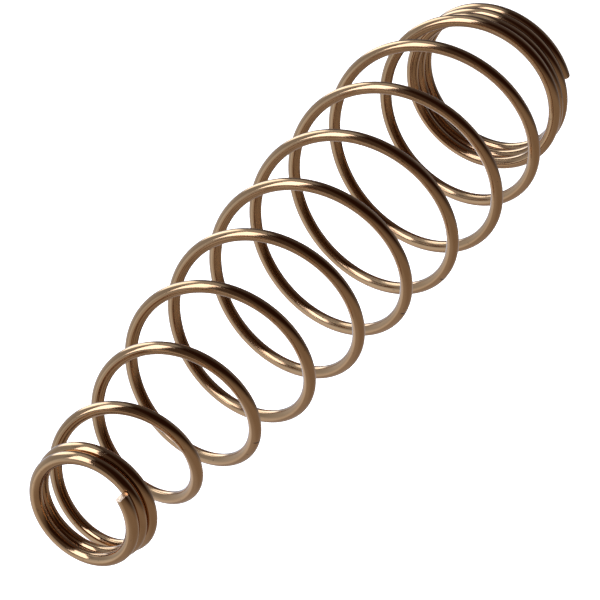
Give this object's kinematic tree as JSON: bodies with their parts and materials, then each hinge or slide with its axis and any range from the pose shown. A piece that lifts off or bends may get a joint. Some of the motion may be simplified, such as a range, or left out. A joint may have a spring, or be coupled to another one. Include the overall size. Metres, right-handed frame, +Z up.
{
  "type": "tapered compression coil spring",
  "caption": "Springy coil of round bronze wire that tapers to a narrow shoulder, with closed unground coils at both ends; it squashes and stretches along its axis.",
  "frame": {"origin": "middle of the base, on the plane that the large end stands on", "axes": "+Z up the coil's axis, from the large end to the small end; +X towards the cut tip of the wire at the large end"},
  "size_m": [0.0212, 0.0212, 0.0825],
  "materials": {
    "bronze_wire": "polished drawn wire"
  },
  "bodies": {
    "large_end_coils": {"large_end_coils": "bronze_wire"},
    "open_coil_1_length_1": {"open_coil_1_length_1": "bronze_wire"},
    "open_coil_1_length_2": {"open_coil_1_length_2": "bronze_wire"},
    "open_coil_1_length_3": {"open_coil_1_length_3": "bronze_wire"},
    "open_coil_1_length_4": {"open_coil_1_length_4": "bronze_wire"},
    "open_coil_1_length_5": {"open_coil_1_length_5": "bronze_wire"},
    "open_coil_2_length_1": {"open_coil_2_length_1": "bronze_wire"},
    "open_coil_2_length_2": {"open_coil_2_length_2": "bronze_wire"},
    "open_coil_2_length_3": {"open_coil_2_length_3": "bronze_wire"},
    "open_coil_2_length_4": {"open_coil_2_length_4": "bronze_wire"},
    "open_coil_2_length_5": {"open_coil_2_length_5": "bronze_wire"},
    "open_coil_3_length_1": {"open_coil_3_length_1": "bronze_wire"},
    "open_coil_3_length_2": {"open_coil_3_length_2": "bronze_wire"},
    "open_coil_3_length_3": {"open_coil_3_length_3": "bronze_wire"},
    "open_coil_3_length_4": {"open_coil_3_length_4": "bronze_wire"},
    "open_coil_3_length_5": {"open_coil_3_length_5": "bronze_wire"},
    "open_coil_4_length_1": {"open_coil_4_length_1": "bronze_wire"},
    "open_coil_4_length_2": {"open_coil_4_length_2": "bronze_wire"},
    "open_coil_4_length_3": {"open_coil_4_length_3": "bronze_wire"},
    "open_coil_4_length_4": {"open_coil_4_length_4": "bronze_wire"},
    "open_coil_4_length_5": {"open_coil_4_length_5": "bronze_wire"},
    "open_coil_5_length_1": {"open_coil_5_length_1": "bronze_wire"},
    "open_coil_5_length_2": {"open_coil_5_length_2": "bronze_wire"},
    "open_coil_5_length_3": {"open_coil_5_length_3": "bronze_wire"},
    "open_coil_5_length_4": {"open_coil_5_length_4": "bronze_wire"},
    "open_coil_5_length_5": {"open_coil_5_length_5": "bronze_wire"},
    "open_coil_6_length_1": {"open_coil_6_length_1": "bronze_wire"},
    "open_coil_6_length_2": {"open_coil_6_length_2": "bronze_wire"},
    "open_coil_6_length_3": {"open_coil_6_length_3": "bronze_wire"},
    "open_coil_6_length_4": {"open_coil_6_length_4": "bronze_wire"},
    "open_coil_6_length_5": {"open_coil_6_length_5": "bronze_wire"},
    "open_coil_7_length_1": {"open_coil_7_length_1": "bronze_wire"},
    "open_coil_7_length_2": {"open_coil_7_length_2": "bronze_wire"},
    "open_coil_7_length_3": {"open_coil_7_length_3": "bronze_wire"},
    "open_coil_7_length_4": {"open_coil_7_length_4": "bronze_wire"},
    "open_coil_7_length_5": {"open_coil_7_length_5": "bronze_wire"},
    "open_coil_8_length_1": {"open_coil_8_length_1": "bronze_wire"},
    "open_coil_8_length_2": {"open_coil_8_length_2": "bronze_wire"},
    "open_coil_8_length_3": {"open_coil_8_length_3": "bronze_wire"},
    "open_coil_8_length_4": {"open_coil_8_length_4": "bronze_wire"},
    "open_coil_8_length_5": {"open_coil_8_length_5": "bronze_wire"},
    "open_coil_9_length_1": {"open_coil_9_length_1": "bronze_wire"},
    "open_coil_9_length_2": {"open_coil_9_length_2": "bronze_wire"},
    "open_coil_9_length_3": {"open_coil_9_length_3": "bronze_wire"},
    "open_coil_9_length_4": {"open_coil_9_length_4": "bronze_wire"},
    "open_coil_9_length_5": {"open_coil_9_length_5": "bronze_wire"},
    "small_end_coils": {"small_end_coils": "bronze_wire"}
  },
  "joints": [
    {"name": "open_coil_1_length_1_travel", "type": "slide", "parent": "large_end_coils", "child": "open_coil_1_length_1", "axis": [0, 0, 1], "range_m": [-0.0000129, 0.0000041]},
    {"name": "open_coil_1_length_2_travel", "type": "slide", "parent": "large_end_coils", "child": "open_coil_1_length_2", "axis": [0, 0, 1], "range_m": [-0.000498, 0.000098]},
    {"name": "open_coil_1_length_3_travel", "type": "slide", "parent": "large_end_coils", "child": "open_coil_1_length_3", "axis": [0, 0, 1], "range_m": [-0.0018, 0.00035]},
    {"name": "open_coil_1_length_4_travel", "type": "slide", "parent": "large_end_coils", "child": "open_coil_1_length_4", "axis": [0, 0, 1], "range_m": [-0.00328, 0.00064]},
    {"name": "open_coil_1_length_5_travel", "type": "slide", "parent": "large_end_coils", "child": "open_coil_1_length_5", "axis": [0, 0, 1], "range_m": [-0.00476, 0.00092]},
    {"name": "open_coil_2_length_1_travel", "type": "slide", "parent": "large_end_coils", "child": "open_coil_2_length_1", "axis": [0, 0, 1], "range_m": [-0.00624, 0.00121]},
    {"name": "open_coil_2_length_2_travel", "type": "slide", "parent": "large_end_coils", "child": "open_coil_2_length_2", "axis": [0, 0, 1], "range_m": [-0.00772, 0.0015]},
    {"name": "open_coil_2_length_3_travel", "type": "slide", "parent": "large_end_coils", "child": "open_coil_2_length_3", "axis": [0, 0, 1], "range_m": [-0.00919, 0.00178]},
    {"name": "open_coil_2_length_4_travel", "type": "slide", "parent": "large_end_coils", "child": "open_coil_2_length_4", "axis": [0, 0, 1], "range_m": [-0.01067, 0.00207]},
    {"name": "open_coil_2_length_5_travel", "type": "slide", "parent": "large_end_coils", "child": "open_coil_2_length_5", "axis": [0, 0, 1], "range_m": [-0.01215, 0.00235]},
    {"name": "open_coil_3_length_1_travel", "type": "slide", "parent": "large_end_coils", "child": "open_coil_3_length_1", "axis": [0, 0, 1], "range_m": [-0.01363, 0.00264]},
    {"name": "open_coil_3_length_2_travel", "type": "slide", "parent": "large_end_coils", "child": "open_coil_3_length_2", "axis": [0, 0, 1], "range_m": [-0.0151, 0.00293]},
    {"name": "open_coil_3_length_3_travel", "type": "slide", "parent": "large_end_coils", "child": "open_coil_3_length_3", "axis": [0, 0, 1], "range_m": [-0.01657, 0.00321]},
    {"name": "open_coil_3_length_4_travel", "type": "slide", "parent": "large_end_coils", "child": "open_coil_3_length_4", "axis": [0, 0, 1], "range_m": [-0.01805, 0.0035]},
    {"name": "open_coil_3_length_5_travel", "type": "slide", "parent": "large_end_coils", "child": "open_coil_3_length_5", "axis": [0, 0, 1], "range_m": [-0.01953, 0.00378]},
    {"name": "open_coil_4_length_1_travel", "type": "slide", "parent": "large_end_coils", "child": "open_coil_4_length_1", "axis": [0, 0, 1], "range_m": [-0.02101, 0.00407]},
    {"name": "open_coil_4_length_2_travel", "type": "slide", "parent": "large_end_coils", "child": "open_coil_4_length_2", "axis": [0, 0, 1], "range_m": [-0.02248, 0.00435]},
    {"name": "open_coil_4_length_3_travel", "type": "slide", "parent": "large_end_coils", "child": "open_coil_4_length_3", "axis": [0, 0, 1], "range_m": [-0.02396, 0.00464]},
    {"name": "open_coil_4_length_4_travel", "type": "slide", "parent": "large_end_coils", "child": "open_coil_4_length_4", "axis": [0, 0, 1], "range_m": [-0.02543, 0.00493]},
    {"name": "open_coil_4_length_5_travel", "type": "slide", "parent": "large_end_coils", "child": "open_coil_4_length_5", "axis": [0, 0, 1], "range_m": [-0.02691, 0.00521]},
    {"name": "open_coil_5_length_1_travel", "type": "slide", "parent": "large_end_coils", "child": "open_coil_5_length_1", "axis": [0, 0, 1], "range_m": [-0.02839, 0.0055]},
    {"name": "open_coil_5_length_2_travel", "type": "slide", "parent": "large_end_coils", "child": "open_coil_5_length_2", "axis": [0, 0, 1], "range_m": [-0.02986, 0.00578]},
    {"name": "open_coil_5_length_3_travel", "type": "slide", "parent": "large_end_coils", "child": "open_coil_5_length_3", "axis": [0, 0, 1], "range_m": [-0.03134, 0.00607]},
    {"name": "open_coil_5_length_4_travel", "type": "slide", "parent": "large_end_coils", "child": "open_coil_5_length_4", "axis": [0, 0, 1], "range_m": [-0.03281, 0.00635]},
    {"name": "open_coil_5_length_5_travel", "type": "slide", "parent": "large_end_coils", "child": "open_coil_5_length_5", "axis": [0, 0, 1], "range_m": [-0.03429, 0.00664]},
    {"name": "open_coil_6_length_1_travel", "type": "slide", "parent": "large_end_coils", "child": "open_coil_6_length_1", "axis": [0, 0, 1], "range_m": [-0.03576, 0.00693]},
    {"name": "open_coil_6_length_2_travel", "type": "slide", "parent": "large_end_coils", "child": "open_coil_6_length_2", "axis": [0, 0, 1], "range_m": [-0.03724, 0.00721]},
    {"name": "open_coil_6_length_3_travel", "type": "slide", "parent": "large_end_coils", "child": "open_coil_6_length_3", "axis": [0, 0, 1], "range_m": [-0.03872, 0.0075]},
    {"name": "open_coil_6_length_4_travel", "type": "slide", "parent": "large_end_coils", "child": "open_coil_6_length_4", "axis": [0, 0, 1], "range_m": [-0.04019, 0.00778]},
    {"name": "open_coil_6_length_5_travel", "type": "slide", "parent": "large_end_coils", "child": "open_coil_6_length_5", "axis": [0, 0, 1], "range_m": [-0.04167, 0.00807]},
    {"name": "open_coil_7_length_1_travel", "type": "slide", "parent": "large_end_coils", "child": "open_coil_7_length_1", "axis": [0, 0, 1], "range_m": [-0.04314, 0.00836]},
    {"name": "open_coil_7_length_2_travel", "type": "slide", "parent": "large_end_coils", "child": "open_coil_7_length_2", "axis": [0, 0, 1], "range_m": [-0.04462, 0.00864]},
    {"name": "open_coil_7_length_3_travel", "type": "slide", "parent": "large_end_coils", "child": "open_coil_7_length_3", "axis": [0, 0, 1], "range_m": [-0.0461, 0.00893]},
    {"name": "open_coil_7_length_4_travel", "type": "slide", "parent": "large_end_coils", "child": "open_coil_7_length_4", "axis": [0, 0, 1], "range_m": [-0.04757, 0.00921]},
    {"name": "open_coil_7_length_5_travel", "type": "slide", "parent": "large_end_coils", "child": "open_coil_7_length_5", "axis": [0, 0, 1], "range_m": [-0.04905, 0.0095]},
    {"name": "open_coil_8_length_1_travel", "type": "slide", "parent": "large_end_coils", "child": "open_coil_8_length_1", "axis": [0, 0, 1], "range_m": [-0.05052, 0.00978]},
    {"name": "open_coil_8_length_2_travel", "type": "slide", "parent": "large_end_coils", "child": "open_coil_8_length_2", "axis": [0, 0, 1], "range_m": [-0.052, 0.01007]},
    {"name": "open_coil_8_length_3_travel", "type": "slide", "parent": "large_end_coils", "child": "open_coil_8_length_3", "axis": [0, 0, 1], "range_m": [-0.05347, 0.01036]},
    {"name": "open_coil_8_length_4_travel", "type": "slide", "parent": "large_end_coils", "child": "open_coil_8_length_4", "axis": [0, 0, 1], "range_m": [-0.05495, 0.01064]},
    {"name": "open_coil_8_length_5_travel", "type": "slide", "parent": "large_end_coils", "child": "open_coil_8_length_5", "axis": [0, 0, 1], "range_m": [-0.05643, 0.01093]},
    {"name": "open_coil_9_length_1_travel", "type": "slide", "parent": "large_end_coils", "child": "open_coil_9_length_1", "axis": [0, 0, 1], "range_m": [-0.0579, 0.01121]},
    {"name": "open_coil_9_length_2_travel", "type": "slide", "parent": "large_end_coils", "child": "open_coil_9_length_2", "axis": [0, 0, 1], "range_m": [-0.05938, 0.0115]},
    {"name": "open_coil_9_length_3_travel", "type": "slide", "parent": "large_end_coils", "child": "open_coil_9_length_3", "axis": [0, 0, 1], "range_m": [-0.06075, 0.01176]},
    {"name": "open_coil_9_length_4_travel", "type": "slide", "parent": "large_end_coils", "child": "open_coil_9_length_4", "axis": [0, 0, 1], "range_m": [-0.06165, 0.01194]},
    {"name": "open_coil_9_length_5_travel", "type": "slide", "parent": "large_end_coils", "child": "open_coil_9_length_5", "axis": [0, 0, 1], "range_m": [-0.06196, 0.012]},
    {"name": "small_end_coils_travel", "type": "slide", "parent": "large_end_coils", "child": "small_end_coils", "axis": [0, 0, 1], "range_m": [-0.06198, 0.012], "stiffness_N_per_m": 233.6}
  ],
  "couplings": [
    {"joint": "open_coil_1_length_1_travel", "follows": "small_end_coils_travel", "ratio": 0.000176},
    {"joint": "open_coil_1_length_2_travel", "follows": "small_end_coils_travel", "ratio": 0.008003},
    {"joint": "open_coil_1_length_3_travel", "follows": "small_end_coils_travel", "ratio": 0.029025},
    {"joint": "open_coil_1_length_4_travel", "follows": "small_end_coils_travel", "ratio": 0.052922},
    {"joint": "open_coil_1_length_5_travel", "follows": "small_end_coils_travel", "ratio": 0.076816},
    {"joint": "open_coil_2_length_1_travel", "follows": "small_end_coils_travel", "ratio": 0.1007},
    {"joint": "open_coil_2_length_2_travel", "follows": "small_end_coils_travel", "ratio": 0.12447},
    {"joint": "open_coil_2_length_3_travel", "follows": "small_end_coils_travel", "ratio": 0.1482},
    {"joint": "open_coil_2_length_4_travel", "follows": "small_end_coils_travel", "ratio": 0.17211},
    {"joint": "open_coil_2_length_5_travel", "follows": "small_end_coils_travel", "ratio": 0.19602},
    {"joint": "open_coil_3_length_1_travel", "follows": "small_end_coils_travel", "ratio": 0.21983},
    {"joint": "open_coil_3_length_2_travel", "follows": "small_end_coils_travel", "ratio": 0.24365},
    {"joint": "open_coil_3_length_3_travel", "follows": "small_end_coils_travel", "ratio": 0.26741},
    {"joint": "open_coil_3_length_4_travel", "follows": "small_end_coils_travel", "ratio": 0.29127},
    {"joint": "open_coil_3_length_5_travel", "follows": "small_end_coils_travel", "ratio": 0.31509},
    {"joint": "open_coil_4_length_1_travel", "follows": "small_end_coils_travel", "ratio": 0.3389},
    {"joint": "open_coil_4_length_2_travel", "follows": "small_end_coils_travel", "ratio": 0.36271},
    {"joint": "open_coil_4_length_3_travel", "follows": "small_end_coils_travel", "ratio": 0.38653},
    {"joint": "open_coil_4_length_4_travel", "follows": "small_end_coils_travel", "ratio": 0.41034},
    {"joint": "open_coil_4_length_5_travel", "follows": "small_end_coils_travel", "ratio": 0.43415},
    {"joint": "open_coil_5_length_1_travel", "follows": "small_end_coils_travel", "ratio": 0.45797},
    {"joint": "open_coil_5_length_2_travel", "follows": "small_end_coils_travel", "ratio": 0.48178},
    {"joint": "open_coil_5_length_3_travel", "follows": "small_end_coils_travel", "ratio": 0.50559},
    {"joint": "open_coil_5_length_4_travel", "follows": "small_end_coils_travel", "ratio": 0.52941},
    {"joint": "open_coil_5_length_5_travel", "follows": "small_end_coils_travel", "ratio": 0.55322},
    {"joint": "open_coil_6_length_1_travel", "follows": "small_end_coils_travel", "ratio": 0.57703},
    {"joint": "open_coil_6_length_2_travel", "follows": "small_end_coils_travel", "ratio": 0.60084},
    {"joint": "open_coil_6_length_3_travel", "follows": "small_end_coils_travel", "ratio": 0.62466},
    {"joint": "open_coil_6_length_4_travel", "follows": "small_end_coils_travel", "ratio": 0.64847},
    {"joint": "open_coil_6_length_5_travel", "follows": "small_end_coils_travel", "ratio": 0.67228},
    {"joint": "open_coil_7_length_1_travel", "follows": "small_end_coils_travel", "ratio": 0.6961},
    {"joint": "open_coil_7_length_2_travel", "follows": "small_end_coils_travel", "ratio": 0.71991},
    {"joint": "open_coil_7_length_3_travel", "follows": "small_end_coils_travel", "ratio": 0.74372},
    {"joint": "open_coil_7_length_4_travel", "follows": "small_end_coils_travel", "ratio": 0.76754},
    {"joint": "open_coil_7_length_5_travel", "follows": "small_end_coils_travel", "ratio": 0.79135},
    {"joint": "open_coil_8_length_1_travel", "follows": "small_end_coils_travel", "ratio": 0.81516},
    {"joint": "open_coil_8_length_2_travel", "follows": "small_end_coils_travel", "ratio": 0.83898},
    {"joint": "open_coil_8_length_3_travel", "follows": "small_end_coils_travel", "ratio": 0.86279},
    {"joint": "open_coil_8_length_4_travel", "follows": "small_end_coils_travel", "ratio": 0.8866},
    {"joint": "open_coil_8_length_5_travel", "follows": "small_end_coils_travel", "ratio": 0.91042},
    {"joint": "open_coil_9_length_1_travel", "follows": "small_end_coils_travel", "ratio": 0.93423},
    {"joint": "open_coil_9_length_2_travel", "follows": "small_end_coils_travel", "ratio": 0.95804},
    {"joint": "open_coil_9_length_3_travel", "follows": "small_end_coils_travel", "ratio": 0.98022},
    {"joint": "open_coil_9_length_4_travel", "follows": "small_end_coils_travel", "ratio": 0.99466},
    {"joint": "open_coil_9_length_5_travel", "follows": "small_end_coils_travel", "ratio": 0.99971}
  ]
}
